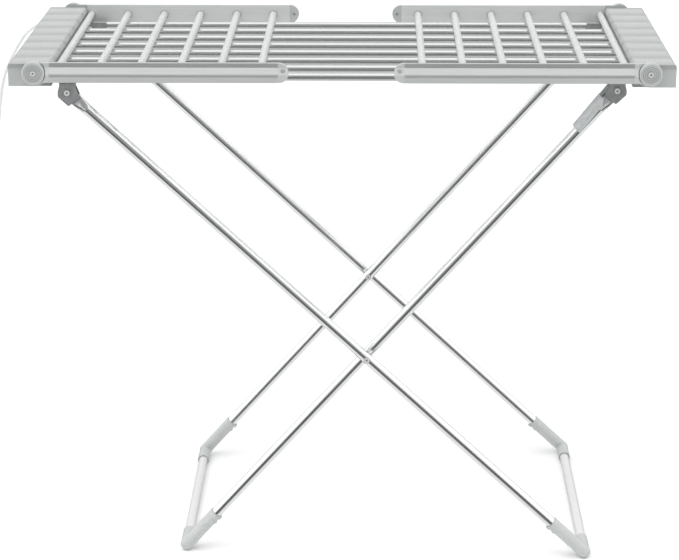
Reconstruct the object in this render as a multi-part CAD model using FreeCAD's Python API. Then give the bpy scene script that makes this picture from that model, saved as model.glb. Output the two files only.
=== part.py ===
import FreeCAD, Part
import math
import os
from FreeCAD import Vector

# A folding electric clothes airer: a deck of heated rods between two end housings,
# two wings that fold in over the deck, and two crossed leg frames.
# Millimetres. X runs along the rods, -Y is the front, Z is up and 0 is the floor.

# deck
hinge_height = 910.0     # wing hinge axis above the floor
hinge_span = 1052.0      # between the two wing hinge axes
rod_count = 8
rod_pitch = 62.0         # also the width of one hump on the housings
rod_diameter = 13.5
rod_wall = 1.0
rod_bar_gap = 2.2        # heated rods' tops to the wing bars above them
rod_entry = 8.0          # how far a rod runs on past the housing's inner wall
wire_diameter = 3.5

# end housings
inner_reach = 28.0       # hinge axis to the housing's inner wall
outer_reach = 45.3       # hinge axis to the housing's end face
under_rods = 3.75        # rods' lowest line to the housing's underside
hump_rise = 16.0         # hump tops above the hinge axis
hump_depth = 2.5
shell_wall = 2.5
inner_round = 10.0
outer_round = 8.0
collar_length = 7.0
collar_wall = 1.45
screw_boss = 6.0

# wings
wing_length = 436.0      # hinge axis to the free end
bar_count = 6
bar_diameter = 12.5
bar_wall = 0.9
bar_offset = 36.5        # hinge axis to the first bar
bar_pitch = 70.0
rail_height = 34.5
rail_thickness = 17.0
rail_wall = 1.6
rail_strip = 9.0         # inner face to the upright strip along the rail's top
strip_height = 7.5
belly_slope = 35.0       # degrees, how far the rail's belly leans back above its nose
nose_radius = 6.0
rail_gap = 1.0           # housing face to rail
knuckle_radius = 20.0
rail_start = 27.5        # hinge axis to the end of the rail
disc_radius = 15.6
disc_gap = 0.5
neck_groove = 1.2
cap_length = 17.7
cap_shank = 3.0
cap_bore = 7.6
plug_depth = 18.0
hinge_pin = 6.0

# legs
leg_diameter = 19.0
leg_wall = 1.2
leg_inset = 1.8          # outer leg plane inside the housing faces
leg_spacing = 23.7       # outer leg plane to inner leg plane
fold_gap = 0.8           # folded legs to the housing above them
outer_pivot_inset = 55.6  # left hinge axis to the outer frame's pivots
inner_pivot_inset = 52.3  # right hinge axis to the inner frame's pivots
outer_foot_x = 444.0
inner_foot_x = -287.8
tongue_thickness = 4.4
tongue_half = 12.2       # half width of the flattened tube end
tongue_tip = 9.0
tongue_length = 17.0
flare_length = 26.0
elbow_wall = 2.2
sleeve_wall = 2.0
sleeve_length = 84.0
socket_length = 55.0
foot_tube_diameter = 17.5
spacer_diameter = 13.0

# brackets
cheek = 5.0
cheek_rim = 2.6          # cheek left beside the flared tube
bracket_drop = 2.0       # bracket top below the rail
clip_length = 28.0
clip_wall = 3.0
clip_sheet = 2.2         # wall of the lock clip
clip_start = 25.0        # leg pivot to the lock clip, down the leg
clip_end = 96.0
clip_depth = 3.0         # leg's surface to the clip's outer edge at its lower end
clip_taper = 0.058
pivot_screw = 5.0
head_radius = 5.5
head_height = 2.2

# mains lead
lead_diameter = 7.0
lead_y = 198.0
lead_drop = 3.0          # where the lead leaves, below the hinge axis
relief_length = 20.0
relief_tilt = 25.0       # degrees below level
plug_height = 21.0

fit = 0.1                # pieces of one body that sit in each other
running = 0.06           # radial clearance of a hinge pin
clear = 0.4              # clearance of moving pieces

hinge_x = hinge_span / 2
rod_drop = bar_diameter / 2 + rod_bar_gap + rod_diameter / 2
housing_drop = rod_drop + rod_diameter / 2 + under_rods
pivot_drop = housing_drop + fold_gap + leg_diameter / 2
deck_depth = rod_pitch * rod_count
face_y = deck_depth / 2
inner_x = hinge_x - inner_reach
outer_x = hinge_x + outer_reach
rod_z = hinge_height - rod_drop
floor_of_housing = hinge_height - housing_drop
top_of_humps = hinge_height + hump_rise
rail_inner_y = face_y + rail_gap
rail_outer_y = rail_inner_y + rail_thickness
outer_plane = face_y - leg_inset
inner_plane = outer_plane - leg_spacing
pivot_z = hinge_height - pivot_drop
outer_pivot_x = outer_pivot_inset - hinge_x
inner_pivot_x = hinge_x - inner_pivot_inset
elbow_radius = foot_tube_diameter / 2 + elbow_wall
sleeve_diameter = leg_diameter + 2 * (fit + sleeve_wall)
ball_radius = sleeve_diameter / 2
edge_rod_y = (rod_count - 1) / 2 * rod_pitch
along_x = Vector(1, 0, 0)
along_y = Vector(0, 1, 0)
along_z = Vector(0, 0, 1)
origin = Vector(0, 0, 0)

os.makedirs("parts", exist_ok=True)


def save(shape, name):
    shape.exportStep("parts/" + name + ".step")


def flip_x(shape):
    return shape.mirror(origin, along_x)


def flip_y(shape):
    return shape.mirror(origin, along_y)


def group(shapes):
    return Part.makeCompound(shapes)


def rod_between(start, end, diameter):
    axis = end.sub(start)
    return Part.makeCylinder(diameter / 2, axis.Length, start, axis)


def tube_between(start, end, diameter, wall):
    return rod_between(start, end, diameter).cut(rod_between(start, end, diameter - 2 * wall))


def block(x0, x1, y0, y1, z0, z1):
    return Part.makeBox(x1 - x0, y1 - y0, z1 - z0, Vector(x0, y0, z0))


def rounded_face(corners, place):
    # corners are (u, v, radius); place turns (u, v) into a point
    edges = []
    last = None
    first = None
    count = len(corners)
    for i in range(count):
        u, v, radius = corners[i]
        before = corners[i - 1]
        after = corners[(i + 1) % count]
        here = Vector(u, v, 0)
        back = Vector(before[0], before[1], 0).sub(here).normalize()
        ahead = Vector(after[0], after[1], 0).sub(here).normalize()
        half = back.getAngle(ahead) / 2
        cut = radius / math.tan(half)
        enter = here + back * cut
        leave = here + ahead * cut
        middle = (back + ahead).normalize() * (radius / math.sin(half) - radius) + here
        if last is None:
            first = enter
        elif last.distanceToPoint(enter) > 1e-6:
            edges.append(Part.LineSegment(place(last), place(enter)).toShape())
        if radius > 0:
            edges.append(Part.Arc(place(enter), place(middle), place(leave)).toShape())
        last = leave
    if last.distanceToPoint(first) > 1e-6:
        edges.append(Part.LineSegment(place(last), place(first)).toShape())
    return Part.Face(Part.Wire(edges))


def plate_xz(corners, y0, y1):
    face = rounded_face(corners, lambda p: Vector(p.x, y0, p.y))
    return face.extrude(Vector(0, y1 - y0, 0))


# ---- end housings, drawn on the right and mirrored to the left ----

def hump_body(inset):
    # the wavy top: one hump over each rod, its hollow half way between two rods
    crest = top_of_humps - inset
    valley = crest - hump_depth
    middle = crest - hump_depth / 2
    quarter = rod_pitch / 4
    bottom = floor_of_housing - 1
    points = [Vector(inner_x - 1, -face_y - 1, bottom), Vector(inner_x - 1, face_y + 1, bottom)]
    points += [Vector(inner_x - 1, face_y + 1, valley), Vector(inner_x - 1, face_y, valley)]
    edges = [Part.LineSegment(points[i], points[i + 1]).toShape() for i in range(3)]
    y = face_y
    for i in range(rod_count):
        sag = hump_depth * (1 - math.sqrt(0.5)) / 2
        spots = [(y, valley), (y - quarter / 2, valley + sag), (y - quarter, middle)]
        spots += [(y - 1.5 * quarter, crest - sag), (y - 2 * quarter, crest)]
        spots += [(y - 2.5 * quarter, crest - sag), (y - 3 * quarter, middle)]
        spots += [(y - 3.5 * quarter, valley + sag), (y - 4 * quarter, valley)]
        for k in (0, 2, 4, 6):
            trio = [Vector(inner_x - 1, a, b) for a, b in spots[k:k + 3]]
            edges.append(Part.Arc(*trio).toShape())
        y -= rod_pitch
    edges.append(Part.LineSegment(Vector(inner_x - 1, y, valley),
                                  Vector(inner_x - 1, y - 1, valley)).toShape())
    edges.append(Part.LineSegment(Vector(inner_x - 1, y - 1, valley), points[0]).toShape())
    return Part.Face(Part.Wire(edges)).extrude(Vector(outer_x - inner_x + 2, 0, 0))


def housing_solid(inset):
    corners = [
        (inner_x + inset, floor_of_housing, 0), (outer_x - inset, floor_of_housing, 0),
        (outer_x - inset, top_of_humps - inset, outer_round - inset),
        (inner_x + inset, top_of_humps - inset, inner_round - inset),
    ]
    body = plate_xz(corners, -face_y + inset, face_y - inset)
    return body.common(hump_body(inset))


def rod_places():
    return [(i - (rod_count - 1) / 2) * rod_pitch for i in range(rod_count)]


def housing_cover():
    shell = housing_solid(0).cut(housing_solid(shell_wall))
    # the inner wall ends at the rod axes, where the tray takes over
    low_wall = block(inner_x - 1, inner_x + shell_wall + 1, -face_y + shell_wall, face_y - shell_wall,
                     floor_of_housing - 1, rod_z)
    shell = shell.cut(low_wall)
    for y in rod_places():
        start = Vector(inner_x - 1, y, rod_z)
        shell = shell.cut(rod_between(start, start + along_x * (shell_wall + 2), bush_diameter()))
    # the end walls follow the hinge knuckle round at their lower inner corner
    corner = block(inner_x - 1, hinge_x, -face_y - 1, face_y + 1, floor_of_housing - 1, hinge_height)
    inside = block(inner_x - 1, hinge_x, -face_y + shell_wall, face_y - shell_wall,
                   floor_of_housing - 1, hinge_height)
    around = rod_between(Vector(hinge_x, -face_y - 2, hinge_height),
                         Vector(hinge_x, face_y + 2, hinge_height), 2 * housing_drop)
    shell = shell.cut(corner.cut(inside).cut(around))
    for side in (-1, 1):
        boss_start = Vector(hinge_x, side * (face_y - shell_wall - 18), hinge_height)
        boss_end = Vector(hinge_x, side * (face_y - shell_wall / 2), hinge_height)
        shell = shell.fuse(rod_between(boss_start, boss_end, hinge_pin + 6))
    hole = rod_between(Vector(hinge_x, -face_y - 1, hinge_height), Vector(hinge_x, face_y + 1, hinge_height),
                       hinge_pin + fit)
    shell = shell.cut(hole)
    for x, y in screw_places():
        post_start = Vector(x, y, floor_of_housing + shell_wall + fit)
        post = rod_between(post_start, Vector(x, y, hinge_height + hump_rise - hump_depth - shell_wall / 2),
                           screw_boss)
        shell = shell.fuse(post).cut(rod_between(post_start - along_z, post_start + along_z * 14, 3 + fit))
    return shell.removeSplitter()


def housing_tray():
    gap = shell_wall + fit
    floor = block(inner_x, outer_x - gap, -face_y + gap, face_y - gap,
                  floor_of_housing, floor_of_housing + shell_wall)
    wall = block(inner_x, inner_x + shell_wall, -face_y + gap, face_y - gap, floor_of_housing, rod_z - fit)
    tray = floor.fuse(wall)
    for side in (-1, 1):
        near = side * (face_y - gap)
        far = side * (face_y - gap - 2)
        low, high = min(near, far), max(near, far)
        tray = tray.fuse(block(inner_x, hinge_x - hinge_pin, low, high, floor_of_housing, rod_z - fit))
        tray = tray.fuse(block(inner_x + gap, hinge_x - hinge_pin - 4, low, high, floor_of_housing,
                               hinge_height))
    for y in rod_places():
        start = Vector(inner_x - 1, y, rod_z)
        tray = tray.cut(rod_between(start, start + along_x * (shell_wall + 2), bush_diameter()))
    for x, y in screw_places():
        base = Vector(x, y, floor_of_housing - 1)
        tray = tray.cut(rod_between(base, base + along_z * 6, 3 + 2 * fit))
    return tray.removeSplitter()


def screw_places():
    # clear of the leg tubes that lie under the housing when the legs are folded
    return [(hinge_x + 22, step * rod_pitch) for step in (-3, -1, 1, 3)]


def housing_screws():
    pieces = []
    for x, y in screw_places():
        base = Vector(x, y, floor_of_housing)
        head = rod_between(base - along_z * 1.4, base, 6.5)
        screw = head.fuse(rod_between(base, base + along_z * 14, 3))
        pieces += [screw, flip_x(screw)]
    return group(pieces)


# ---- rods, bushes and the heating circuit ----

def bush_diameter():
    return rod_diameter + 2 * fit + 2


def rod(y):
    reach = inner_x + rod_entry
    return tube_between(Vector(-reach, y, rod_z), Vector(reach, y, rod_z), rod_diameter, rod_wall)


def rod_bushes():
    pieces = []
    for y in rod_places():
        wide = rod_between(Vector(inner_x - collar_length, y, rod_z), Vector(inner_x, y, rod_z),
                           rod_diameter + 2 * collar_wall)
        neck = rod_between(Vector(inner_x, y, rod_z), Vector(inner_x + rod_entry, y, rod_z),
                           bush_diameter() - 2 * fit)
        bore = rod_between(Vector(inner_x - collar_length - 1, y, rod_z),
                           Vector(inner_x + rod_entry + 1, y, rod_z), rod_diameter + fit)
        bush = wide.fuse(neck).cut(bore)
        pieces += [bush, flip_x(bush)]
    return group(pieces)


def heating_wires():
    reach = inner_x + rod_entry + 5
    return group([rod_between(Vector(-reach, y, rod_z), Vector(reach, y, rod_z), wire_diameter)
                  for y in rod_places()])


def link_wires():
    x = inner_x + rod_entry + 5 + wire_diameter / 2 + fit
    link = rod_between(Vector(x, -edge_rod_y - 4, rod_z), Vector(x, edge_rod_y + 4, rod_z), wire_diameter)
    return group([link, flip_x(link)])


def terminal_block():
    base = floor_of_housing + shell_wall
    low_y = lead_y - 40
    body = block(-outer_x + 12, -outer_x + 38, low_y, low_y + 22, base, base + 12)
    for i in range(3):
        well = Vector(-outer_x + 16 + 9 * i, low_y + 11, base + 5)
        body = body.cut(rod_between(well, well + along_z * 8, 5))
    return body


def thermal_cutout():
    base = floor_of_housing + shell_wall
    return block(-outer_x + 14, -outer_x + 34, lead_y - 70, lead_y - 60, base, base + 6)


# ---- wings, drawn on the right and mirrored to the left ----

def rail_face(x, inset):
    # flat inner face, an upright strip along the top and a soft-nosed belly below it
    lean = math.radians(belly_slope)
    top = hinge_height + rail_height / 2
    bottom = hinge_height - rail_height / 2
    shelf = top - strip_height
    nose_y = rail_outer_y - nose_radius
    # the upper facet leaves the strip's foot and runs tangent to the nose
    facet = Vector(0, rail_inner_y + rail_strip, shelf)
    drop = (nose_y + nose_radius * math.cos(lean) - facet.y) / math.tan(lean) / math.tan(lean)
    upper = Vector(0, nose_y + nose_radius * math.cos(lean), shelf - drop * math.tan(lean))
    nose = Vector(0, nose_y, upper.z - nose_radius * math.sin(lean))
    lower = Vector(0, nose_y + nose_radius * math.cos(lean), nose.z - nose_radius * math.sin(lean))
    tip = Vector(0, rail_outer_y, nose.z)
    heel_y = lower.y - (lower.z - bottom) * math.tan(lean)
    inner_low = Vector(0, rail_inner_y, bottom)
    inner_top = Vector(0, rail_inner_y, top)
    strip_top = Vector(0, rail_inner_y + rail_strip, top)
    heel = Vector(0, heel_y, bottom)
    edges = [Part.LineSegment(start, end).toShape() for start, end in (
        (heel, inner_low), (inner_low, inner_top), (inner_top, strip_top), (strip_top, facet),
        (facet, upper))]
    edges += [Part.Arc(upper, tip, lower).toShape(), Part.LineSegment(lower, heel).toShape()]
    face = Part.Face(Part.Wire(edges))
    face.translate(Vector(x, 0, 0))
    return face if inset == 0 else face.makeOffset2D(-inset)


def bar_places():
    return [hinge_x - bar_offset - i * bar_pitch for i in range(bar_count)]


def wing_rail():
    start = hinge_x - rail_start
    length = wing_length - rail_start - cap_length
    rail = rail_face(start, 0).extrude(Vector(-length, 0, 0))
    rail = rail.cut(rail_face(start + 1, rail_wall).extrude(Vector(-length - 2, 0, 0)))
    for x in bar_places():
        rail = rail.cut(rod_between(Vector(x, rail_inner_y - 1, hinge_height),
                                    Vector(x, rail_inner_y + rail_wall + 1, hinge_height),
                                    bar_diameter + fit))
    return rail


def wing_bars():
    reach = rail_inner_y + rail_wall + 3
    return group([tube_between(Vector(x, -reach, hinge_height), Vector(x, reach, hinge_height),
                               bar_diameter, bar_wall) for x in bar_places()])


def bar_collars():
    pieces = []
    for i, x in enumerate(bar_places()):
        # the first collar is slim, to pass the housing as the wing swings
        wall = 0.85 if i == 0 else 2.2
        start = Vector(x, rail_inner_y - 4, hinge_height)
        ring = tube_between(start, start + along_y * 4, bar_diameter + fit + 2 * wall, wall)
        pieces += [ring, flip_y(ring)]
    return group(pieces)


def end_cap():
    tip = hinge_x - wing_length
    half = rail_height / 2
    block_end = rail_face(tip, 0).extrude(Vector(cap_length, 0, 0))
    top = hinge_height + half
    bottom = hinge_height - half
    outline = plate_xz([(tip, bottom, half - 0.01), (tip + cap_length + 9, bottom, 0),
                        (tip + cap_length + 9, top, 0), (tip, top, half - 0.01)],
                       rail_inner_y - 1, rail_outer_y + 1)
    cap = block_end.common(outline)
    plug = rail_face(tip + cap_length - 1, rail_wall + fit).extrude(Vector(12, 0, 0))
    cap = cap.fuse(plug)
    recess = Vector(tip + 9.4, rail_inner_y - 1, hinge_height)
    cap = cap.cut(rod_between(recess, recess + along_y * 3, 5.2))
    # the screw's head sits in a counterbore
    seat = cap_seat()
    cap = cap.cut(rod_between(seat - along_y * 8, seat, cap_shank))
    return cap.cut(rod_between(seat, seat + along_y * 8, cap_bore)).removeSplitter()


def cap_seat():
    return Vector(hinge_x - wing_length + 9.4, rail_inner_y + 11, hinge_height + 5)


def cap_screw():
    seat = cap_seat()
    shank = rod_between(seat - along_y * 8, seat, cap_shank)
    head = Part.makeCone(2.0, 3.6, 1.8, seat, along_y)
    slot = block(seat.x - 2.4, seat.x + 2.4, seat.y + 1.2, seat.y + 2, seat.z - 0.4, seat.z + 0.4)
    return shank.fuse(head).cut(slot)


def hinge_knuckle():
    axis_start = Vector(hinge_x, rail_inner_y, hinge_height)
    drum = rod_between(axis_start, axis_start + along_y * (rail_thickness - 1), 2 * knuckle_radius)
    outer_rim = [edge for edge in drum.Edges if abs(edge.CenterOfMass.y - rail_outer_y + 1) < 0.01]
    drum = drum.makeFillet(1.6, outer_rim)
    neck = rail_face(hinge_x - rail_start + fit, 0).extrude(Vector(rail_start - knuckle_radius / 2, 0, 0))
    # a groove sets the round knuckle off from the neck
    neck = neck.cut(rod_between(axis_start + along_y * 4, axis_start + along_y * 20,
                                2 * (knuckle_radius + neck_groove)))
    plug = rail_face(hinge_x - rail_start - plug_depth, rail_wall + fit).extrude(Vector(plug_depth + 5, 0, 0))
    knuckle = drum.fuse(neck).fuse(plug)
    bore = rod_between(axis_start - along_y, axis_start + along_y * (rail_thickness + 4),
                       hinge_pin + 2 * running)
    seat = rod_between(axis_start + along_y * (rail_thickness - 3),
                       axis_start + along_y * (rail_thickness + 4), 2 * (disc_radius + disc_gap))
    knuckle = knuckle.cut(bore).cut(seat)
    # the first bar's end stays clear of the plug inside the rail
    first = bar_places()[0]
    room = rod_between(Vector(first, rail_inner_y - 1, hinge_height),
                       Vector(first, rail_inner_y + rail_wall + 4, hinge_height), bar_diameter + 4 * fit)
    return knuckle.cut(room).removeSplitter()


def hinge_disc():
    base = Vector(hinge_x, rail_inner_y + rail_thickness - 3, hinge_height)
    disc = rod_between(base, base + along_y * 2.4, 2 * disc_radius)
    for radius in (13.0, 10.2, 7.4):
        groove = tube_between(base + along_y * 1.6, base + along_y * 3, 2 * radius, 0.9)
        disc = disc.cut(groove)
    pin_room = rod_between(base - along_y, base + along_y * 3, hinge_pin + 2 * running)
    head_room = rod_between(base + along_y * 1.2, base + along_y * 3, 9 + 2 * clear)
    return disc.cut(pin_room).cut(head_room)


def hinge_screw():
    head_base = Vector(hinge_x, rail_inner_y + rail_thickness - 3 + 1.2 + fit, hinge_height)
    shank = rod_between(Vector(hinge_x, face_y - shell_wall - 16, hinge_height), head_base, hinge_pin)
    head = rod_between(head_base, head_base + along_y * 1.6, 9)
    slot = block(hinge_x - 2.6, hinge_x + 2.6, head_base.y + 0.8, head_base.y + 2,
                 hinge_height - 0.5, hinge_height + 0.5)
    return shank.fuse(head).cut(slot)


# ---- leg frames ----

class LegLine:
    # the straight line of a leg, seen from the front
    def __init__(self, pivot_x, foot_x):
        self.pivot = Vector(pivot_x, 0, pivot_z)
        self.foot = Vector(foot_x, 0, ball_radius)
        self.run = self.foot.sub(self.pivot)
        self.length = self.run.Length
        self.along = Vector(self.run).normalize()
        self.across = self.along.cross(along_y)


outer_leg = LegLine(outer_pivot_x, outer_foot_x)
inner_leg = LegLine(inner_pivot_x, inner_foot_x)


def crossing_point():
    # both legs drop by the same height, so they cross at the same share of their length
    share = (inner_pivot_x - outer_pivot_x) / (inner_pivot_x - outer_pivot_x + outer_foot_x - inner_foot_x)
    return outer_leg.pivot + outer_leg.run * share


def section(leg, y, distance, half_width, half_thickness, round_tube):
    # four edges in the same order for the flattened end and for the round tube
    centre = leg.pivot + leg.along * distance + along_y * y
    if round_tube:
        a = half_width * math.cos(math.radians(40))
        t = half_width * math.sin(math.radians(40))
        top_mid, end_mid = half_width, half_width
    else:
        a, t = half_width - half_thickness, half_thickness
        top_mid, end_mid = half_thickness, half_width

    def at(u, v):
        return centre + leg.across * u + along_y * v

    edges = []
    if round_tube:
        edges.append(Part.Arc(at(a, t), at(0, top_mid), at(-a, t)).toShape())
    else:
        edges.append(Part.LineSegment(at(a, t), at(-a, t)).toShape())
    edges.append(Part.Arc(at(-a, t), at(-end_mid, 0), at(-a, -t)).toShape())
    if round_tube:
        edges.append(Part.Arc(at(-a, -t), at(0, -top_mid), at(a, -t)).toShape())
    else:
        edges.append(Part.LineSegment(at(-a, -t), at(a, -t)).toShape())
    edges.append(Part.Arc(at(a, -t), at(end_mid, 0), at(a, t)).toShape())
    return Part.Wire(edges)


def leg_tube(leg, y):
    radius = leg_diameter / 2
    half = tongue_thickness / 2

    def at(s, u):
        return leg.pivot + leg.along * s + leg.across * u + along_y * (y - half)

    edges = [
        Part.Arc(at(0, tongue_tip), at(-tongue_tip, 0), at(0, -tongue_tip)).toShape(),
        Part.LineSegment(at(0, -tongue_tip), at(tongue_length, -tongue_half + half)).toShape(),
        Part.LineSegment(at(tongue_length, -tongue_half + half),
                         at(tongue_length, tongue_half - half)).toShape(),
        Part.LineSegment(at(tongue_length, tongue_half - half), at(0, tongue_tip)).toShape(),
    ]
    tongue = Part.Face(Part.Wire(edges)).extrude(along_y * tongue_thickness)
    flare = Part.makeLoft([
        section(leg, y, tongue_length, tongue_half, half, False),
        section(leg, y, tongue_length + flare_length, radius, radius, True)], True, True)
    start = leg.pivot + leg.along * (tongue_length + flare_length) + along_y * y
    end = leg.foot - leg.along * (ball_radius + 4) + along_y * y
    pipe = tube_between(start, end, leg_diameter, leg_wall)
    tube = tongue.fuse(flare).fuse(pipe)
    hole = leg.pivot + along_y * y
    tube = tube.cut(rod_between(hole - along_y * 9, hole + along_y * 9, pivot_screw + 2 * running))
    return tube.removeSplitter()


def outward(y):
    return along_y if y > 0 else along_y * -1


def outer_rivet(y):
    # head outside, shank through the tube, and the spacer that keeps the frames apart
    radius = leg_diameter / 2
    out = outward(y)
    middle = crossing_point() + along_y * y
    seat = middle + out * (radius - 0.5)
    head = rod_between(seat, seat + out * head_height, 2 * head_radius)
    dimple = rod_between(seat + out * (head_height - 0.8), seat + out * (head_height + 1), 3.4)
    spacer_end = middle - out * (leg_spacing - radius - clear)
    spacer = rod_between(spacer_end, middle - out * (radius - 0.8), spacer_diameter)
    shank = rod_between(spacer_end, seat, 5)
    return head.cut(dimple).fuse(spacer).fuse(shank)


def inner_rivet(y):
    radius = leg_diameter / 2
    out = outward(y)
    middle = crossing_point() + along_y * y
    seat = middle - out * (radius - 0.5)
    head = rod_between(seat, seat - out * head_height, 2 * head_radius)
    dimple = rod_between(seat - out * (head_height - 0.8), seat - out * (head_height + 1), 3.4)
    shank = rod_between(seat, middle + out * (radius - 0.4), 5)
    return head.cut(dimple).fuse(shank)


def elbow(leg, y):
    out = outward(y)
    centre = leg.foot + along_y * y
    up = leg.along * -1
    body = Part.makeSphere(ball_radius, centre)
    body = body.fuse(rod_between(centre, centre + up * sleeve_length, sleeve_diameter))
    body = body.fuse(rod_between(centre, centre - out * socket_length, 2 * elbow_radius))
    # a lip on the under side of the sleeve's mouth, and a rib under it
    below = leg.across if leg.across.z < 0 else leg.across * -1
    mouth = centre + up * (sleeve_length - 5) + below * 2.2
    body = body.fuse(rod_between(mouth, mouth + up * 5, sleeve_diameter + 0.3))
    rib = centre + up * (sleeve_length - 16) + below * 1.6
    body = body.fuse(rod_between(rib, rib + up * 3, sleeve_diameter + 0.1))
    leg_bore = rod_between(centre + up * (ball_radius + 3), centre + up * (sleeve_length + 1),
                           leg_diameter + 2 * fit)
    tube_bore = rod_between(centre - out * (ball_radius + 3), centre - out * (socket_length + 1),
                            foot_tube_diameter + 2 * fit)
    mouth_bore = rod_between(centre - out * (socket_length - 3), centre - out * (socket_length + 1),
                             foot_tube_diameter + 2 * elbow_wall - 2)
    return body.cut(leg_bore).cut(tube_bore).cut(mouth_bore).removeSplitter()


def foot_tube(leg, plane):
    end = plane - ball_radius - 4
    return tube_between(Vector(leg.foot.x, -end, leg.foot.z), Vector(leg.foot.x, end, leg.foot.z),
                        foot_tube_diameter, leg_wall)


# ---- brackets that carry the leg pivots on the first and last rods ----

def bracket(plane, side, towards):
    # side is -1 at the front and 1 at the back; towards is the X direction of the near housing
    pivot_x = inner_pivot_x if towards > 0 else outer_pivot_x
    top = hinge_height - rail_height / 2 - bracket_drop - pivot_z
    outline = [(12, top, 2), (-12, top, 2), (-22, -8.5, 3), (-1.5, -24, 3), (16.2, -7, 4), (16.2, 1, 4)]
    slot_half = tongue_thickness / 2 + clear
    near = slot_half + cheek
    corners = [(pivot_x + towards * u, pivot_z + v, radius) for u, v, radius in outline]
    body = plate_xz(corners, plane - near, plane + near)
    clip_low = pivot_z + tongue_tip + 1.5
    clip_top = rod_z + rod_diameter / 2 - 0.6
    clip_side = rod_diameter / 2 + clear + clip_wall
    low_x = pivot_x - 13 if towards > 0 else pivot_x - 15
    # the arm runs from the cheeks to the rod and hooks round it from below
    arm_end = max(edge_rod_y + clip_side, plane - near + 1)
    arm = block(low_x, low_x + clip_length, edge_rod_y - clip_side, arm_end, clip_low, rod_z)
    hook = block(low_x, low_x + clip_length, edge_rod_y - clip_side, edge_rod_y + clip_side,
                 clip_low, clip_top)
    body = body.fuse(arm).fuse(hook)
    body = body.cut(block(pivot_x - 40, pivot_x + 40, plane - slot_half, plane + slot_half,
                          pivot_z - 40, clip_low))
    rod_room = rod_between(Vector(pivot_x - 40, edge_rod_y, rod_z), Vector(pivot_x + 40, edge_rod_y, rod_z),
                           rod_diameter + 2 * bracket_grip(towards))
    body = body.cut(rod_room)
    hole = Vector(pivot_x, plane, pivot_z)
    # the slot opens out beyond the tongue, so that the flared tube swings between the cheeks
    relief = tube_between(hole - along_y * (near - cheek_rim), hole + along_y * (near - cheek_rim), 90,
                          45 - tongue_length)
    body = body.cut(relief.common(block(pivot_x - 40, pivot_x + 40, plane - near, plane + near,
                                        pivot_z - 40, clip_low)))
    body = body.cut(rod_between(hole - along_y * 20, hole + along_y * 20, pivot_screw + fit))
    body = body.removeSplitter()
    return body if side > 0 else flip_y(body)


def bracket_grip(towards):
    # the left brackets are clamped, the right ones slide on the rods
    return clear if towards > 0 else fit


def bracket_screw(plane, side, pivot_x):
    out = along_y * side
    middle = Vector(pivot_x, side * plane, pivot_z)
    reach = tongue_thickness / 2 + clear + cheek
    head = rod_between(middle + out * reach, middle + out * (reach + head_height), 2 * head_radius)
    recess = rod_between(middle + out * (reach + head_height - 1),
                         middle + out * (reach + head_height + 1), 4)
    nut = rod_between(middle - out * reach, middle - out * (reach + head_height), 2 * head_radius - 2)
    shank = rod_between(middle - out * reach, middle + out * reach, pivot_screw)
    return head.cut(recess).fuse(nut).fuse(shank)


# ---- the lock clip: a channel that slides on the front right leg, up to an ear on its bracket ----

def beside_leg(corners, y0, y1):
    # corners are (distance down the inner leg, distance off its axis to the upper left)
    off = inner_leg.across if inner_leg.across.x < 0 else inner_leg.across * -1
    points = [inner_leg.pivot + inner_leg.along * s + off * u + along_y * y0 for s, u in corners]
    return Part.Face(Part.makePolygon(points + points[:1])).extrude(along_y * (y1 - y0))


def clip_edge(s):
    # the clip's outer edge draws in towards its lower end
    return leg_diameter / 2 + clip_depth + (clip_end - s) * clip_taper


def lock_clip():
    y = -inner_plane
    inside = leg_diameter / 2 + clear
    outside = inside + clip_sheet
    body = beside_leg([(clip_end, -1.5), (clip_end, clip_edge(clip_end)), (clip_start, clip_edge(clip_start)),
                       (clip_start, 9), (clip_start + 12, 1)], y - outside, y + outside)
    hollow = beside_leg([(clip_end + 1, -30), (clip_end + 1, clip_edge(clip_end) - clip_sheet),
                         (clip_start - 1, clip_edge(clip_start) - clip_sheet), (clip_start - 1, -30)],
                        y - inside, y + inside)
    rib = beside_leg([(clip_start + 14, 6), (clip_start + 14, 7.2), (clip_end - 3, 5.6), (clip_end - 3, 4.4)],
                     y - outside - 0.7, y - outside + 0.5)
    return body.cut(hollow).fuse(rib).removeSplitter()


def lock_ear():
    # stands behind the bracket's edge and meets the clip when the legs are locked
    y = -inner_plane
    half = tongue_thickness / 2 + clear + cheek
    return beside_leg([(clip_start - clear, 12.9), (clip_start - clear, clip_edge(clip_start)),
                       (3, clip_edge(3)), (10, 13.6)], y - half, y + half)


# ---- mains lead ----

# the lead hangs from the left end face, reaches the floor beside the airer and runs into its coil
lead_route = [
    (-589.4, 198, 898.5), (-609, 198, 887.5), (-628, 197, 858), (-647, 196, 826), (-661, 194, 786),
    (-668, 193, 738), (-674, 191, 686), (-681, 189, 636), (-687, 186, 576), (-694, 184, 515),
    (-699, 180, 455), (-706, 179, 394), (-710, 175, 334), (-717, 173, 273), (-720, 169, 213),
    (-727, 167, 153), (-729, 163, 96), (-733, 160, 52), (-741, 155, 20), (-757, 147, 3.6),
    (-776, 133, 3.6),
]
coil_turns_radius = 40.0
coil_centre = Vector(-801.0, 168.0, 0)
coil_height = 2 * lead_diameter
coil_tail = 32.0         # last straight stretch, from the coil's top row to the plug


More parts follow.
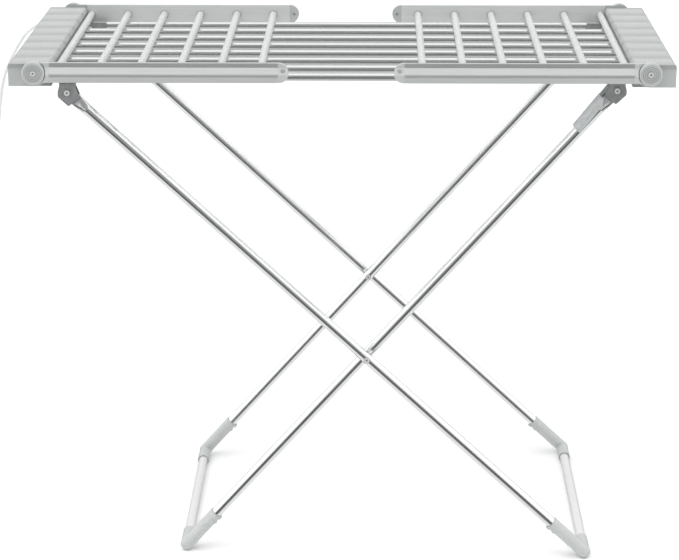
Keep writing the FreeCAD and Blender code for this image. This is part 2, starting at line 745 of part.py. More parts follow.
def smooth_path(points):
    edges = []
    radii = []
    last = points[0]
    for i in range(1, len(points) - 1):
        here = points[i]
        back = points[i - 1].sub(here)
        ahead = points[i + 1].sub(here)
        turn = math.pi - back.getAngle(ahead)
        reach = 0.45 * min(back.Length, ahead.Length)
        radius = reach / math.tan(turn / 2)
        back.normalize()
        ahead.normalize()
        enter = here + back * reach
        leave = here + ahead * reach
        middle = here + (back + ahead).normalize() * (radius / math.cos(turn / 2) - radius)
        edges.append(Part.LineSegment(last, enter).toShape())
        edges.append(Part.Arc(enter, middle, leave).toShape())
        radii.append(radius)
        last = leave
    edges.append(Part.LineSegment(last, points[-1]).toShape())
    print("lead radii, mm:", [round(r) for r in radii])
    return Part.Wire(edges)


def mains_lead():
    points = [Vector(*p) for p in lead_route]
    path = smooth_path(points)
    ring = Part.Wire(Part.makeCircle(lead_diameter / 2, points[0], points[1].sub(points[0])))
    tube = path.makePipeShell([ring], True, False)
    wanted = path.Length * math.pi * (lead_diameter / 2) ** 2
    print("lead length", round(path.Length), "volume share", round(tube.Volume / wanted, 4))
    return tube


def coil_exit():
    # the outer turn of the top row heads for the front on the coil's right side
    return coil_centre + Vector(coil_turns_radius + lead_diameter / 2, 0, 1.5 * lead_diameter)


def lead_coil():
    ring = tube_between(coil_centre, coil_centre + along_z * coil_height,
                        2 * coil_turns_radius + 2 * lead_diameter, 2 * lead_diameter)
    tail = rod_between(coil_exit(), coil_exit() - along_y * coil_tail, lead_diameter)
    return ring.fuse(tail)


def relief_axis():
    tilt = math.radians(relief_tilt)
    return Vector(-math.cos(tilt), 0, -math.sin(tilt))


def lead_exit():
    return Vector(-outer_x, lead_y, hinge_height - lead_drop)


def strain_relief():
    face = lead_exit()
    flange = rod_between(face, face - along_x * 3, 17)
    start = face + relief_axis() * 3
    taper = Part.makeCone(5.6, 4.3, relief_length - 3, start, relief_axis())
    inside = rod_between(face, face + along_x * (shell_wall + 3), 9)
    body = flange.fuse(taper)
    for i in range(3):
        groove = face + relief_axis() * (8 + 4 * i)
        body = body.cut(tube_between(groove, groove + relief_axis() * 1.5, 16, 3.4 - 0.1 * i))
    return body.fuse(inside)


def plug_body():
    tail_end = coil_exit() - along_y * coil_tail
    base = tail_end - along_y * 14
    back = base.y - 24
    outline = [(9, base.y, 0), (-9, base.y, 0), (-18, base.y - 9, 0), (-18, back, 0), (18, back, 0),
               (18, base.y - 9, 0)]
    face = rounded_face([(base.x + u, v, radius) for u, v, radius in outline], lambda p: Vector(p.x, p.y, 0))
    body = face.extrude(along_z * plug_height)
    body = body.makeFillet(3.5, body.Edges)
    tail = Part.makeCone(6, 4.2, 18, base - along_y * 4, along_y)
    return body.fuse(tail).removeSplitter()


def plug_pins():
    face = coil_exit() - along_y * (coil_tail + 14 + 24)
    return group([rod_between(face + along_x * x, face + along_x * x - along_y * 19, 4.6)
                  for x in (-9.5, 9.5)])


# ---- build every piece ----

bush_hole = lead_exit() - along_x
right_cover = housing_cover()
left_cover = flip_x(right_cover).cut(rod_between(bush_hole, bush_hole + along_x * (shell_wall + 2), 9 + fit))
save(right_cover, "right_housing_cover")
save(left_cover, "left_housing_cover")
save(housing_tray(), "right_housing_tray")
save(flip_x(housing_tray()), "left_housing_tray")
save(housing_screws(), "housing_screws")

for number, y in enumerate(rod_places(), start=1):
    save(rod(y), "heated_rod_" + str(number))
save(rod_bushes(), "rod_bushes")
save(heating_wires(), "heating_wires")
save(link_wires(), "link_wires")
save(terminal_block(), "terminal_block")
save(thermal_cutout(), "thermal_cutout")

wing_pieces = {
    "back_rail": wing_rail(),
    "front_rail": flip_y(wing_rail()),
    "wing_bars": wing_bars(),
    "bar_collars": bar_collars(),
    "end_caps": group([end_cap(), flip_y(end_cap())]),
    "cap_screws": group([cap_screw(), flip_y(cap_screw())]),
    "hinge_knuckles": group([hinge_knuckle(), flip_y(hinge_knuckle())]),
    "hinge_discs": group([hinge_disc(), flip_y(hinge_disc())]),
}
for name, shape in wing_pieces.items():
    save(shape, "right_" + name)
    save(flip_x(shape), "left_" + name)
screw = hinge_screw()
save(group([screw, flip_y(screw), flip_x(screw), flip_x(flip_y(screw))]), "hinge_screws")

frames = {
    "outer_leg": (outer_leg, outer_plane, outer_rivet),
    "inner_leg": (inner_leg, inner_plane, inner_rivet),
}
for name, (leg, plane, rivet) in frames.items():
    for place, y in (("front", -plane), ("back", plane)):
        save(leg_tube(leg, y).cut(rivet(y)), name + "_tube_" + place)
        save(elbow(leg, y), name + "_elbow_" + place)
    save(foot_tube(leg, plane), name + "_foot_tube")
    save(group([rivet(-plane), rivet(plane)]), name + "_rivets")

for place, side in (("front", -1), ("back", 1)):
    save(bracket(outer_plane, side, -1), "fixed_bracket_" + place)
    sliding = bracket(inner_plane, side, 1)
    save(sliding.fuse(lock_ear()).removeSplitter() if side < 0 else sliding, "sliding_bracket_" + place)
save(group([bracket_screw(outer_plane, side, outer_pivot_x) for side in (-1, 1)]), "fixed_bracket_screws")
save(group([bracket_screw(inner_plane, side, inner_pivot_x) for side in (-1, 1)]), "sliding_bracket_screws")
save(lock_clip(), "lock_clip")

save(strain_relief(), "strain_relief")
save(mains_lead(), "mains_lead")
save(lead_coil(), "lead_coil")
save(plug_body(), "plug_body")
save(plug_pins(), "plug_pins")
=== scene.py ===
import math

import bpy
from mathutils import Matrix


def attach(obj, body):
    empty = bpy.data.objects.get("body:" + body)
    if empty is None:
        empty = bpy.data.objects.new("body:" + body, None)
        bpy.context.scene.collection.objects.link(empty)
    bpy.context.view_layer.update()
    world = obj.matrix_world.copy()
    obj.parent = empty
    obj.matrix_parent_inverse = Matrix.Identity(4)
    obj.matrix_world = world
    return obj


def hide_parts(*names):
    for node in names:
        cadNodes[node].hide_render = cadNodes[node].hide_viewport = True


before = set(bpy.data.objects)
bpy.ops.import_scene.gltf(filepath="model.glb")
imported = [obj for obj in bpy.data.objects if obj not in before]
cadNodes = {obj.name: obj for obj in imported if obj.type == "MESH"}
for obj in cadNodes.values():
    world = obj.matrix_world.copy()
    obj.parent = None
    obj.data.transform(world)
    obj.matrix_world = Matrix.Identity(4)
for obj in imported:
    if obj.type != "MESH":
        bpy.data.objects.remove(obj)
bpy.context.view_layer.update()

# Looks for a folding electric clothes airer: a deck of heated rods, two wings and crossed legs.
# Metres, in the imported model's own frame: X along the rods, -Y to the front, Z up, floor at 0.
scene = bpy.context.scene
print("frame loaded,", len(cadNodes), "nodes")


# camera on a stand in front of the airer, looking a little down
camera = {
    "place": (0.0609, -3.8429, 1.7355),
    "tiltDown": 0.322,  # radians below level
    "turnLeft": 0.018,
    "roll": -0.002,
    "lens": 114.0,
    "sensor": 36.0,
    "farEnd": 1000,
}


def makeCamera():
    data = bpy.data.cameras.new("studioCamera")
    data.sensor_fit = "HORIZONTAL"
    data.sensor_width = camera["sensor"]
    data.lens = camera["lens"]
    data.clip_end = camera["farEnd"]
    eye = bpy.data.objects.new("studioCamera", data)
    scene.collection.objects.link(eye)
    turn = Matrix.Rotation(camera["turnLeft"], 3, "Z")
    tilt = Matrix.Rotation(math.pi / 2 - camera["tiltDown"], 3, "X")
    roll = Matrix.Rotation(camera["roll"], 3, "Z")
    eye.location = camera["place"]
    eye.rotation_euler = (turn @ tilt @ roll).to_euler()
    scene.camera = eye


makeCamera()
print("camera placed")


# small helpers for material nodes
evenly = (1, 1, 1)
alongRods = (0.02, 1, 1)  # squeezes X, so that a noise is drawn out into streaks
noiseSpan = (0.25, 0.75)  # most of a noise lies between these


def startMaterial(name):
    material = bpy.data.materials.new(name)
    material.use_nodes = True
    tree = material.node_tree
    return material, tree, tree.nodes["Principled BSDF"]


def addNode(tree, kind, **values):
    node = tree.nodes.new(kind)
    for key, value in values.items():
        setattr(node, key, value)
    return node


def stretchedPlace(tree, scale, turnY=0.0):
    # object coordinates, turned about Y and then scaled, so that streaks can run along a piece
    place = addNode(tree, "ShaderNodeTexCoord")
    turned = addNode(tree, "ShaderNodeMapping")
    turned.inputs["Rotation"].default_value = (0, turnY, 0)
    sized = addNode(tree, "ShaderNodeMapping")
    sized.inputs["Scale"].default_value = scale
    tree.links.new(place.outputs["Object"], turned.inputs["Vector"])
    tree.links.new(turned.outputs["Vector"], sized.inputs["Vector"])
    return sized.outputs["Vector"]


def splitPlace(tree):
    place = addNode(tree, "ShaderNodeTexCoord")
    split = addNode(tree, "ShaderNodeSeparateXYZ")
    tree.links.new(place.outputs["Object"], split.inputs[0])
    return split


def addNoise(tree, place, scale, detail, rough=0.55):
    noise = addNode(tree, "ShaderNodeTexNoise")
    noise.inputs["Scale"].default_value = scale
    noise.inputs["Detail"].default_value = detail
    noise.inputs["Roughness"].default_value = rough
    tree.links.new(place, noise.inputs["Vector"])
    return noise.outputs["Fac"]


def addBump(tree, height, distance, strength, under=None):
    bump = addNode(tree, "ShaderNodeBump")
    bump.inputs["Distance"].default_value = distance
    bump.inputs["Strength"].default_value = strength
    tree.links.new(height, bump.inputs["Height"])
    if under is not None:
        tree.links.new(under, bump.inputs["Normal"])
    return bump.outputs["Normal"]


def smoothStep(tree, source, low, high):
    step = addNode(tree, "ShaderNodeMapRange", interpolation_type="SMOOTHSTEP")
    step.inputs["From Min"].default_value = low
    step.inputs["From Max"].default_value = high
    tree.links.new(source, step.inputs["Value"])
    return step.outputs["Result"]


def addMath(tree, operation, first, second=None):
    sums = addNode(tree, "ShaderNodeMath", operation=operation)
    tree.links.new(first, sums.inputs[0])
    if isinstance(second, float):
        sums.inputs[1].default_value = second
    elif second is not None:
        tree.links.new(second, sums.inputs[1])
    return sums.outputs[0]


def chained(tree, operation, first, *others):
    # one operation carried along a row of values
    for other in others:
        first = addMath(tree, operation, first, other)
    return first


def tinted(colour, factor):
    return tuple(min(1.0, part * factor) for part in colour)


def spreadColour(tree, shader, noise, span, lowColour, highColour):
    ramp = addNode(tree, "ShaderNodeValToRGB")
    for element, position, colour in zip(ramp.color_ramp.elements, span, (lowColour, highColour)):
        element.position = position
        element.color = (*colour, 1)
    tree.links.new(noise, ramp.inputs["Fac"])
    tree.links.new(ramp.outputs["Color"], shader.inputs["Base Color"])


def spreadGloss(tree, shader, noise, gloss, spread):
    gap = addNode(tree, "ShaderNodeMapRange")
    gap.inputs["From Min"].default_value = noiseSpan[0]
    gap.inputs["From Max"].default_value = noiseSpan[1]
    gap.inputs["To Min"].default_value = gloss + spread[0]
    gap.inputs["To Max"].default_value = gloss + spread[1]
    tree.links.new(noise, gap.inputs["Value"])
    tree.links.new(gap.outputs["Result"], shader.inputs["Roughness"])


def tintBase(tree, shader, tone):
    # multiplies the base colour by a tone from 0 to 1
    mix = addNode(tree, "ShaderNodeMix", data_type="RGBA", blend_type="MULTIPLY")
    mix.inputs["Factor"].default_value = 1
    tree.links.new(shader.inputs["Base Color"].links[0].from_socket, mix.inputs[6])
    tree.links.new(tone, mix.inputs[7])
    tree.links.new(mix.outputs[2], shader.inputs["Base Color"])


# moulded plastic: spark-eroded texture, faint flow clouds and a slightly uneven gloss
plasticSkin = {
    "cloudDetail": 4.0,
    "cloudSpan": (0.3, 0.7),
    "grainDetail": 2.0,
    "grainStrength": 0.5,
    "glossSpread": (-0.05, 0.07),
}
plastics = {
    "trayGrey": {
        "colour": (0.24, 0.25, 0.25), "gloss": 0.5, "cloud": 0.05, "cloudScale": 20,
        "grainScale": 1500, "grainDepth": 0.00012,
    },
    "capGrey": {
        "colour": (0.46, 0.48, 0.47), "gloss": 0.38, "cloud": 0.03, "cloudScale": 30,
        "grainScale": 1700, "grainDepth": 0.0001,
    },
    "bracketGrey": {
        "colour": (0.21, 0.22, 0.22), "gloss": 0.36, "cloud": 0.16, "cloudScale": 150,
        "grainScale": 900, "grainDepth": 0.00018,
    },
    "clipGrey": {
        "colour": (0.47, 0.49, 0.49), "gloss": 0.4, "cloud": 0.12, "cloudScale": 160,
        "grainScale": 1200, "grainDepth": 0.00014,
    },
    "elbowGrey": {
        "colour": (0.50, 0.52, 0.51), "gloss": 0.36, "cloud": 0.09, "cloudScale": 260,
        "grainScale": 1300, "grainDepth": 0.00012,
    },
}


def mouldedPlastic(name, look):
    material, tree, shader = startMaterial(name)
    place = stretchedPlace(tree, evenly)
    clouds = addNoise(tree, place, look["cloudScale"], plasticSkin["cloudDetail"])
    grain = addNoise(tree, place, look["grainScale"], plasticSkin["grainDetail"])
    dark, light = (tinted(look["colour"], 1 + shift) for shift in (-look["cloud"], look["cloud"]))
    spreadColour(tree, shader, clouds, plasticSkin["cloudSpan"], dark, light)
    spreadGloss(tree, shader, grain, look["gloss"], plasticSkin["glossSpread"])
    relief = addBump(tree, grain, look["grainDepth"], plasticSkin["grainStrength"])
    tree.links.new(relief, shader.inputs["Normal"])
    return material


# housing covers: painted shade makes the valleys between the humps along the top a little darker
humpedPlastics = {
    "housingGrey": {
        "colour": (0.42, 0.44, 0.43), "gloss": 0.28, "cloud": 0.03, "cloudScale": 14,
        "grainScale": 1500, "grainDepth": 0.00012, "humpPitch": 0.062, "valleyWidth": 0.017,
        "humpFoot": (0.912, 0.919), "valleyShade": 0.24,
    },
}


def humpedPlastic(name, look):
    material = mouldedPlastic(name, look)
    tree = material.node_tree
    split = splitPlace(tree)
    # painted shade: darker in each valley between the humps, on the top face only
    fold = addMath(tree, "PINGPONG", split.outputs["Y"], look["humpPitch"] / 2)
    valley = smoothStep(tree, fold, look["valleyWidth"], 0.0)
    onTop = smoothStep(tree, split.outputs["Z"], *look["humpFoot"])
    shade = chained(tree, "MULTIPLY", valley, onTop, look["valleyShade"])
    tone = addNode(tree, "ShaderNodeMapRange")  # full tone where there is no shade
    tone.inputs["To Min"].default_value = 1
    tone.inputs["To Max"].default_value = 0
    tree.links.new(shade, tone.inputs["Value"])
    tintBase(tree, tree.nodes["Principled BSDF"], tone.outputs["Result"])
    return material


# drawn metal: fine lines along the draw direction, in tone and relief, with a cloudy gloss
metalSkin = {
    "lineDetail": 4.0,
    "lineRough": 0.6,
    "lineSpan": (0.3, 0.7),
    "lineStrength": 0.35,
    "cloudDetail": 3.0,
    "glossSpread": (-0.04, 0.05),
}
metals = {
    "brightRod": {
        "colour": (0.76, 0.77, 0.77), "gloss": 0.24, "streak": 0.03, "lineScale": 900,
        "cloudScale": 12, "lineDepth": 0.000006, "metallic": 1.0,
    },
    "satinRail": {
        "colour": (0.60, 0.62, 0.61), "gloss": 0.38, "streak": 0.05, "lineScale": 700,
        "cloudScale": 10, "lineDepth": 0.000006, "metallic": 0.7,
    },
    "backRail": {
        "colour": (0.65, 0.67, 0.66), "gloss": 0.38, "streak": 0.05, "lineScale": 700,
        "cloudScale": 10, "lineDepth": 0.000006, "metallic": 0.2,
    },
    "outerTube": {
        "colour": (0.82, 0.83, 0.83), "gloss": 0.2, "streak": 0.05, "lineScale": 800,
        "cloudScale": 12, "lineDepth": 0.000006, "metallic": 1.0, "turn": math.radians(-43.3),
    },
    "innerTube": {
        "colour": (0.82, 0.83, 0.83), "gloss": 0.2, "streak": 0.05, "lineScale": 800,
        "cloudScale": 12, "lineDepth": 0.000006, "metallic": 1.0, "turn": math.radians(48.6),
    },
    "screwZinc": {
        "colour": (0.74, 0.74, 0.73), "gloss": 0.38, "streak": 0.08, "lineScale": 400,
        "cloudScale": 200, "lineDepth": 0.00002, "metallic": 0.6, "along": evenly,
    },
    "pinBrass": {
        "colour": (0.80, 0.64, 0.33), "gloss": 0.22, "streak": 0.06, "lineScale": 500,
        "cloudScale": 150, "lineDepth": 0.00003, "metallic": 1.0, "along": (1, 0.05, 1),
    },
}


def drawnMetal(name, look):
    material, tree, shader = startMaterial(name)
    place = stretchedPlace(tree, look.get("along", alongRods), look.get("turn", 0.0))
    lines = addNoise(tree, place, look["lineScale"], metalSkin["lineDetail"],
                     metalSkin["lineRough"])
    even = stretchedPlace(tree, evenly)
    clouds = addNoise(tree, even, look["cloudScale"], metalSkin["cloudDetail"])
    dark, light = (tinted(look["colour"], 1 + shift) for shift in (-look["streak"], look["streak"]))
    spreadColour(tree, shader, lines, metalSkin["lineSpan"], dark, light)
    spreadGloss(tree, shader, clouds, look["gloss"], metalSkin["glossSpread"])
    relief = addBump(tree, lines, look["lineDepth"], metalSkin["lineStrength"])
    tree.links.new(relief, shader.inputs["Normal"])
    shader.inputs["Metallic"].default_value = look["metallic"]
    return material


# hinge discs and pivot screws: painted shade in dark rings about an axis that runs along Y, for the
# disc grooves and the gap round each screw head, and a painted shaded recess in each screw's
# middle, the same on both sides
ringedPlastics = {
    "discGrey": {
        "colour": (0.46, 0.48, 0.47), "gloss": 0.38, "cloud": 0.03, "cloudScale": 30,
        "grainScale": 1700, "grainDepth": 0.0001, "axis": (0.526, 0.910), "reach": 0.02,
        "rings": (0.0064, 0.0098, 0.0132), "ringWidth": 0.0009, "ringShade": 0.4,
    },
}
pivotScrew = {
    "colour": (0.90, 0.90, 0.89), "gloss": 0.34, "streak": 0.08, "lineScale": 400,
    "cloudScale": 200, "lineDepth": 0.00002, "metallic": 0.3, "along": evenly,
    "reach": 0.008, "rings": (0.0051,), "ringWidth": 0.0012, "ringShade": 0.25,
    "recessShade": 0.12,
}
ringedMetals = {
    "hingeScrew": dict(pivotScrew, axis=(0.526, 0.910)),
    "fixedScrew": dict(pivotScrew, axis=(0.4704, 0.874)),
    "slidingScrew": dict(pivotScrew, axis=(0.4737, 0.874)),
    "crossRivet": dict(pivotScrew, axis=(0.0447, 0.3882)),
}


def addRings(material, look):
    tree = material.node_tree
    split = splitPlace(tree)
    across, up = look["axis"]
    sideways = addMath(tree, "SUBTRACT", addMath(tree, "ABSOLUTE", split.outputs["X"]), across)
    upward = addMath(tree, "SUBTRACT", split.outputs["Z"], up)
    squares = [addMath(tree, "MULTIPLY", offset, offset) for offset in (sideways, upward)]
    apart = addMath(tree, "SQRT", addMath(tree, "ADD", *squares))
    shade = addNode(tree, "ShaderNodeValToRGB")
    spots = shade.color_ramp.elements
    # painted shade: a dark middle for the screw's recess, dark rings for grooves and gaps
    middle = look.get("recessShade", 1)
    spots[0].position, spots[0].color = 0, (middle, middle, middle, 1)
    spots[1].position, spots[1].color = 1, (1, 1, 1, 1)
    fade = look["ringWidth"]
    for radius in look["rings"]:
        for edge, tone in ((-fade, 1), (0, look["ringShade"]), (fade, 1)):
            spots.new((radius + edge) / look["reach"]).color = (tone, tone, tone, 1)
    tree.links.new(addMath(tree, "DIVIDE", apart, look["reach"]), shade.inputs["Fac"])
    tintBase(tree, tree.nodes["Principled BSDF"], shade.outputs["Color"])
    return material


def ringedPlastic(name, look):
    return addRings(mouldedPlastic(name, look), look)


def ringedMetal(name, look):
    return addRings(drawnMetal(name, look), look)


# powder coat: orange peel, fine speckle and a satin sheen
coatSkin = {
    "detail": 2.0,
    "speckleRough": 0.7,
    "speckleSpan": (0.36, 0.6),
    "speckleStrength": 0.3,
    "peelStrength": 0.4,
    "glossSpread": (-0.05, 0.08),
}
coats = {
    "barWhite": {
        "colour": (0.72, 0.73, 0.73), "gloss": 0.36, "speckle": 0.34, "speckleScale": 300,
        "peelScale": 350, "peelDepth": 0.0001, "metallic": 0.1,
    },
    "footWhite": {
        "colour": (0.70, 0.70, 0.695), "gloss": 0.28, "speckle": 0.04, "speckleScale": 500,
        "peelScale": 250, "peelDepth": 0.0001, "metallic": 0.0,
    },
}


def speckledCoat(name, look):
    material, tree, shader = startMaterial(name)
    place = stretchedPlace(tree, evenly)
    speckle = addNoise(tree, place, look["speckleScale"], coatSkin["detail"],
                       coatSkin["speckleRough"])
    peel = addNoise(tree, place, look["peelScale"], coatSkin["detail"])
    dark = tinted(look["colour"], 1 - look["speckle"])
    spreadColour(tree, shader, speckle, coatSkin["speckleSpan"], dark, look["colour"])
    spreadGloss(tree, shader, speckle, look["gloss"], coatSkin["glossSpread"])
    under = addBump(tree, peel, look["peelDepth"], coatSkin["peelStrength"])
    relief = addBump(tree, speckle, look["peelDepth"] / 2, coatSkin["speckleStrength"], under)
    tree.links.new(relief, shader.inputs["Normal"])
    shader.inputs["Metallic"].default_value = look["metallic"]
    return material


# extruded flexible sheath: faint lines and a waxy, dusty surface
sheathSkin = {
    "dustScale": 60,
    "dustDetail": 4.0,
    "dustSpan": (0.3, 0.75),
    "dustTone": 0.94,
    "fineScale": 1800,
    "fineDetail": 2.0,
    "fineDepth": 0.00005,
    "fineStrength": 0.4,
    "glossSpread": (-0.05, 0.08),
    "waxShare": 0.05,
    "waxDepth": 0.002,
}
sheaths = {
    "leadWhite": {"colour": (0.78, 0.79, 0.79), "gloss": 0.42},
    "wireSilicone": {"colour": (0.62, 0.55, 0.47), "gloss": 0.45},
}


def softSheath(name, look):
    material, tree, shader = startMaterial(name)
    place = stretchedPlace(tree, evenly)
    dust = addNoise(tree, place, sheathSkin["dustScale"], sheathSkin["dustDetail"])
    fine = addNoise(tree, place, sheathSkin["fineScale"], sheathSkin["fineDetail"])
    dusty = tinted(look["colour"], sheathSkin["dustTone"])
    spreadColour(tree, shader, dust, sheathSkin["dustSpan"], dusty, look["colour"])
    spreadGloss(tree, shader, dust, look["gloss"], sheathSkin["glossSpread"])
    relief = addBump(tree, fine, sheathSkin["fineDepth"], sheathSkin["fineStrength"])
    tree.links.new(relief, shader.inputs["Normal"])
    shader.inputs["Subsurface Weight"].default_value = sheathSkin["waxShare"]
    shader.inputs["Subsurface Scale"].default_value = sheathSkin["waxDepth"]
    return material


made = {}
for makeFinish, looks in (
    (mouldedPlastic, plastics), (humpedPlastic, humpedPlastics), (ringedPlastic, ringedPlastics),
    (ringedMetal, ringedMetals), (drawnMetal, metals), (speckledCoat, coats), (softSheath, sheaths),
):
    for finishName, look in looks.items():
        made[finishName] = makeFinish(finishName, look)
print("materials made:", len(made))


# which finish goes on which piece
rodCount = 8
nodeFinish = {
    "right_housing_cover": "housingGrey", "left_housing_cover": "housingGrey",
    "right_housing_tray": "trayGrey", "left_housing_tray": "trayGrey",
    "terminal_block": "capGrey", "thermal_cutout": "trayGrey", "rod_bushes": "capGrey",
    "heating_wires": "wireSilicone", "link_wires": "wireSilicone", "lock_clip": "clipGrey",
    "strain_relief": "leadWhite", "plug_body": "leadWhite", "plug_pins": "pinBrass",
    "hinge_screws": "hingeScrew", "fixed_bracket_screws": "fixedScrew",
    "sliding_bracket_screws": "slidingScrew", "housing_screws": "screwZinc",
}
for number in range(1, rodCount + 1):
    nodeFinish[f"heated_rod_{number}"] = "brightRod"
for side in ("left", "right"):
    nodeFinish[f"{side}_front_rail"] = "satinRail"
    nodeFinish[f"{side}_back_rail"] = "backRail"
    nodeFinish[f"{side}_wing_bars"] = "barWhite"
    nodeFinish[f"{side}_hinge_discs"] = "discGrey"
    nodeFinish[f"{side}_cap_screws"] = "screwZinc"
    for cap in ("bar_collars", "end_caps", "hinge_knuckles"):
        nodeFinish[f"{side}_{cap}"] = "capGrey"
for leg in ("outer", "inner"):
    nodeFinish[f"{leg}_leg_foot_tube"] = "footWhite"
    nodeFinish[f"{leg}_leg_rivets"] = "crossRivet"
    for end in ("front", "back"):
        nodeFinish[f"{leg}_leg_tube_{end}"] = f"{leg}Tube"
        nodeFinish[f"{leg}_leg_elbow_{end}"] = "elbowGrey"
for end in ("front", "back"):
    for bracket in ("fixed", "sliding"):
        nodeFinish[f"{bracket}_bracket_{end}"] = "bracketGrey"

for node, finish in nodeFinish.items():
    for materialSlot in cadNodes[node].material_slots:
        materialSlot.material = made[finish]
print("finishes on", len(nodeFinish), "nodes")


# the mains lead hangs from the left end, then lies in a neat coil with its plug beside the airer
lead = {
    "diameter": 0.007,
    "length": 1.95,
    "route": [
        (-0.5894, 0.198, 0.8985), (-0.609, 0.198, 0.8875), (-0.628, 0.197, 0.858),
        (-0.647, 0.196, 0.826), (-0.661, 0.194, 0.786), (-0.668, 0.193, 0.738),
        (-0.674, 0.191, 0.686), (-0.681, 0.189, 0.636), (-0.687, 0.186, 0.576),
        (-0.694, 0.184, 0.515), (-0.699, 0.180, 0.455), (-0.706, 0.179, 0.394),
        (-0.710, 0.175, 0.334), (-0.717, 0.173, 0.273), (-0.720, 0.169, 0.213),
        (-0.727, 0.167, 0.153), (-0.729, 0.163, 0.096), (-0.733, 0.160, 0.052),
        (-0.741, 0.155, 0.020), (-0.757, 0.147, 0.0037),
    ],
    "coilCentre": (-0.801, 0.168),
    "innerTurn": 0.0365,  # radius of the inner row and of the outer row
    "outerTurn": 0.0435,
    "lowTurn": 0.0037,  # height of the rows that lie on the floor
    "firstAngle": math.radians(-57),
    "turns": 3.842,
    "pointsPerTurn": 16,
    "shiftStart": 0.6,  # share of a turn over which the lead steps to the next row
    "shiftEnd": 0.8,
    "plugEntry": (-0.7575, 0.136, 0.0105),
    "plugApproach": (0, 0.014, -0.001),  # from the plug's entry back to the last bend
    "bendSteps": 10,
    "roundSteps": 5,
}


def coilPoint(turn):
    # outer row on the floor, inner row on the floor, inner row on top, outer row on top
    step = lead["outerTurn"] - lead["innerTurn"]
    share = turn % 1
    shifting = lead["shiftStart"] < share <= lead["shiftEnd"]
    part = (share - lead["shiftStart"]) / (lead["shiftEnd"] - lead["shiftStart"])
    swing = math.pi / 2 * min(1.0, max(0.0, part))
    row = int(turn) + (1 if share > lead["shiftEnd"] else 0)
    radius, height = lead["outerTurn"], lead["lowTurn"]
    if row == 0 and shifting:
        radius = lead["innerTurn"] + step * math.cos(swing)
    elif row == 1:
        radius = lead["innerTurn"]
        if shifting:
            height += step * math.sin(swing)
    elif row == 2:
        radius = lead["innerTurn"]
        height += step
        if shifting:
            radius += step * math.sqrt(1 - (1 - math.sin(swing)) ** 2)
    elif row >= 3:
        height += step
    # a control point stands a little outside the curve that it bends
    radius /= math.cos(math.pi / lead["pointsPerTurn"])
    angle = lead["firstAngle"] - 2 * math.pi * turn
    centre = lead["coilCentre"]
    return (centre[0] + radius * math.cos(angle), centre[1] + radius * math.sin(angle), height)


def makeLead():
    count = round(lead["turns"] * lead["pointsPerTurn"])
    entry = lead["plugEntry"]
    points = list(lead["route"])
    points += [coilPoint(lead["turns"] * number / count) for number in range(count + 1)]
    points += [tuple(at + away for at, away in zip(entry, lead["plugApproach"])), entry]
    curve = bpy.data.curves.new("mainsLead", "CURVE")
    curve.dimensions = "3D"
    spline = curve.splines.new("NURBS")
    spline.points.add(len(points) - 1)
    for point, place in zip(spline.points, points):
        point.co = (*place, 1)
    spline.order_u = 3
    spline.use_endpoint_u = True
    spline.resolution_u = lead["bendSteps"]
    curve.bevel_depth = lead["diameter"] / 2
    curve.bevel_resolution = lead["roundSteps"]
    curve.use_fill_caps = True
    piece = bpy.data.objects.new("mainsLead", curve)
    scene.collection.objects.link(piece)
    curve.materials.append(made["leadWhite"])
    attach(piece, "deck")
    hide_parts("mains_lead", "lead_coil")


makeLead()
print("mains lead laid")


# plain pale floor and soft studio light
studio = {
    "floorSize": 600.0,
    "floorColour": (0.93, 0.93, 0.93),
    "floorRough": 0.9,
    "floorShine": 0.1,
    # heights of a direction, from straight down to straight up, each with its tone
    "skyLevels": [
        (-1.0, 0.72), (-0.95, 0.72), (-0.86, 0.32), (-0.50, 0.34), (-0.44, 0.08), (-0.19, 0.08),
        (-0.08, 0.34), (0.60, 0.36), (0.72, 0.42), (0.81, 1.2), (1.0, 1.2),
    ],
    # panels: where along X or Y each one begins and is full, and where it ends in height
    "backLevel": 1.15,
    "backEdge": (0.55, 0.75),
    "backFoot": (0.10, 0.22),
    "backTop": (0.52, 0.40),
    "sideLevel": 1.3,
    "sideEdge": (0.48, 0.64),
    "sideFoot": (-0.2, -0.05),
    "lowLevel": 0.95,
    "lowEdge": (0.12, 0.26),
    "lowTop": (-0.5, -0.62),
    "sunStrength": 1.25,
    "sunSpread": math.radians(55),
    "sunTilt": math.radians(24),
    "sunTurn": math.radians(-28),
}


def makeFloor():
    half = studio["floorSize"] / 2
    corners = [(-half, -half, 0), (half, -half, 0), (half, half, 0), (-half, half, 0)]
    mesh = bpy.data.meshes.new("studioFloor")
    mesh.from_pydata(corners, [], [(0, 1, 2, 3)])
    floor = bpy.data.objects.new("studioFloor", mesh)
    scene.collection.objects.link(floor)
    material, tree, shader = startMaterial("studioFloor")
    shader.inputs["Base Color"].default_value = (*studio["floorColour"], 1)
    shader.inputs["Roughness"].default_value = studio["floorRough"]
    shader.inputs["Specular IOR Level"].default_value = studio["floorShine"]
    mesh.materials.append(material)
    floor.visible_glossy = False  # bright metal mirrors the studio's graded light instead


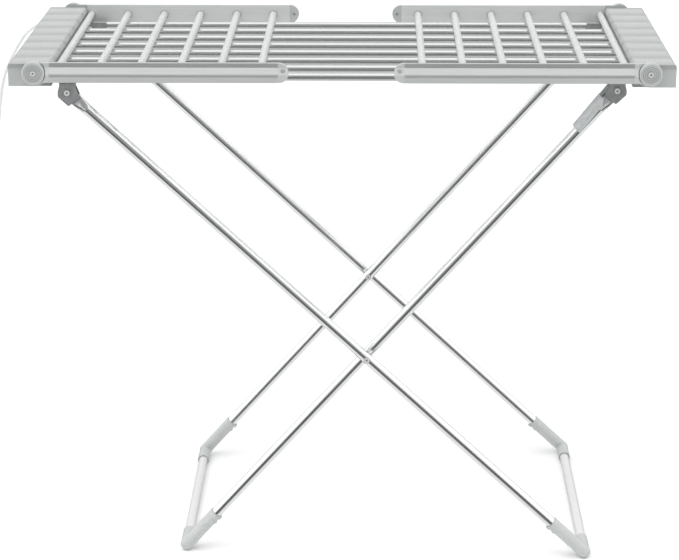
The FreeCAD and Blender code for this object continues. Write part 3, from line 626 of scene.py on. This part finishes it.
def makeSky():
    # graded light from above and pale panels behind, at the sides and low down
    world = bpy.data.worlds.new("studioSky")
    scene.world = world
    world.use_nodes = True
    tree = world.node_tree
    place = addNode(tree, "ShaderNodeTexCoord")
    split = addNode(tree, "ShaderNodeSeparateXYZ")
    tree.links.new(place.outputs["Generated"], split.inputs[0])
    depth, height = split.outputs["Y"], split.outputs["Z"]
    level = addNode(tree, "ShaderNodeMapRange")
    level.inputs["From Min"].default_value = -1
    ramp = addNode(tree, "ShaderNodeValToRGB")
    ramp.color_ramp.interpolation = "EASE"
    elements = ramp.color_ramp.elements
    while len(elements) < len(studio["skyLevels"]):
        elements.new(0.5)
    for element, (upright, tone) in zip(elements, studio["skyLevels"]):
        element.position = (upright + 1) / 2
        element.color = (tone, tone, tone, 1)
    tree.links.new(height, level.inputs["Value"])
    tree.links.new(level.outputs["Result"], ramp.inputs["Fac"])
    across = addMath(tree, "ABSOLUTE", split.outputs["X"])
    side = smoothStep(tree, across, *studio["sideEdge"])
    foot = smoothStep(tree, height, *studio["sideFoot"])
    panel = chained(tree, "MULTIPLY", side, foot, studio["sideLevel"])
    low = smoothStep(tree, across, *studio["lowEdge"])
    under = smoothStep(tree, height, *studio["lowTop"])
    glow = chained(tree, "MULTIPLY", low, under, studio["lowLevel"])
    behind = smoothStep(tree, depth, *studio["backEdge"])
    rise = smoothStep(tree, height, *studio["backFoot"])
    fall = smoothStep(tree, height, *studio["backTop"])
    strip = chained(tree, "MULTIPLY", rise, fall, behind, studio["backLevel"])
    light = chained(tree, "MAXIMUM", ramp.outputs["Color"], panel, glow, strip)
    tree.links.new(light, tree.nodes["Background"].inputs["Color"])


def makeSun():
    data = bpy.data.lights.new("softSun", "SUN")
    data.energy = studio["sunStrength"]
    data.angle = studio["sunSpread"]
    lamp = bpy.data.objects.new("softSun", data)
    scene.collection.objects.link(lamp)
    turn = Matrix.Rotation(studio["sunTurn"], 3, "Z")
    tilt = Matrix.Rotation(studio["sunTilt"], 3, "X")
    lamp.rotation_euler = (turn @ tilt).to_euler()
    lamp.visible_glossy = False


makeFloor()
makeSky()
makeSun()
scene.view_settings.view_transform = "Standard"
print("studio lit")
